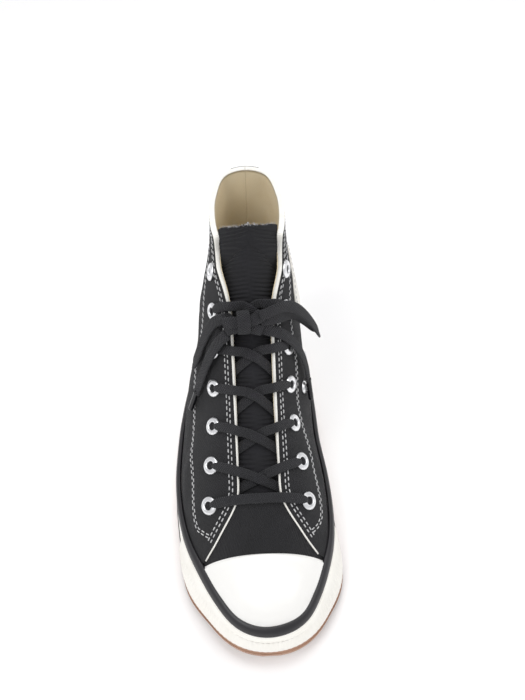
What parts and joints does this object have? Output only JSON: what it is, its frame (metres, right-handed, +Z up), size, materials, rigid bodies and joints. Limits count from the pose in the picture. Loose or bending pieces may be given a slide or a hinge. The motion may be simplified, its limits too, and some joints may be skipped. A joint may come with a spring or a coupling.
{
  "type": "high top sneaker",
  "caption": "Canvas high top sneaker for the right foot, black upper with a white rubber toe cap, foxing and toe strip, metal eyelets and a tied flat lace.",
  "frame": {"origin": "on the floor under the middle of the shoe, the bow of the lace left out", "axes": "+Z up, -Y towards the toe, +X towards the inner side of the right foot"},
  "size_m": [0.1054, 0.259, 0.177],
  "materials": {
    "canvas": "black cotton canvas, plain weave, matt",
    "lining": "natural cotton lining and sock lining, matt",
    "white_rubber": "vulcanised white rubber, satin",
    "toe_cap_rubber": "smooth white rubber cap, glossy",
    "bumper_rubber": "white rubber strip with fine moulded ribs",
    "black_rubber": "black rubber stripe, satin",
    "outsole_rubber": "light brown gum rubber with cross bars, matt",
    "aluminium": "polished aluminium eyelets",
    "lace": "black flat braided cotton lace",
    "lace_tip": "dark clear-coated lace tip",
    "patch": "plain white bonded patch, bare"
  },
  "bodies": {
    "root": {"outsole": "outsole_rubber", "foxing": "white_rubber", "foxing_pinstripe": "black_rubber", "foxing_stripe": "black_rubber", "toe_bumper": "bumper_rubber", "insole": "lining", "upper": "canvas", "toe_cap": "toe_cap_rubber", "heel_stay": "canvas", "ankle_patch": "patch", "tongue": "canvas", "eyelet_left_1": "aluminium", "eyelet_left_2": "aluminium", "eyelet_left_3": "aluminium", "eyelet_left_4": "aluminium", "eyelet_left_5": "aluminium", "eyelet_left_6": "aluminium", "eyelet_left_7": "aluminium", "eyelet_right_1": "aluminium", "eyelet_right_2": "aluminium", "eyelet_right_3": "aluminium", "eyelet_right_4": "aluminium", "eyelet_right_5": "aluminium", "eyelet_right_6": "aluminium", "eyelet_right_7": "aluminium", "vent_eyelet_1": "aluminium", "vent_eyelet_2": "aluminium", "lace_bar": "lace", "lace_cross_1": "lace", "lace_cross_2": "lace", "lace_cross_3": "lace", "lace_cross_4": "lace", "lace_cross_5": "lace", "lace_knot": "lace", "lace_loop_left": "lace", "lace_loop_right": "lace", "lace_end_left": "lace", "lace_end_right": "lace", "lace_tip_left": "lace_tip", "lace_tip_right": "lace_tip"}
  },
  "joints": []
}
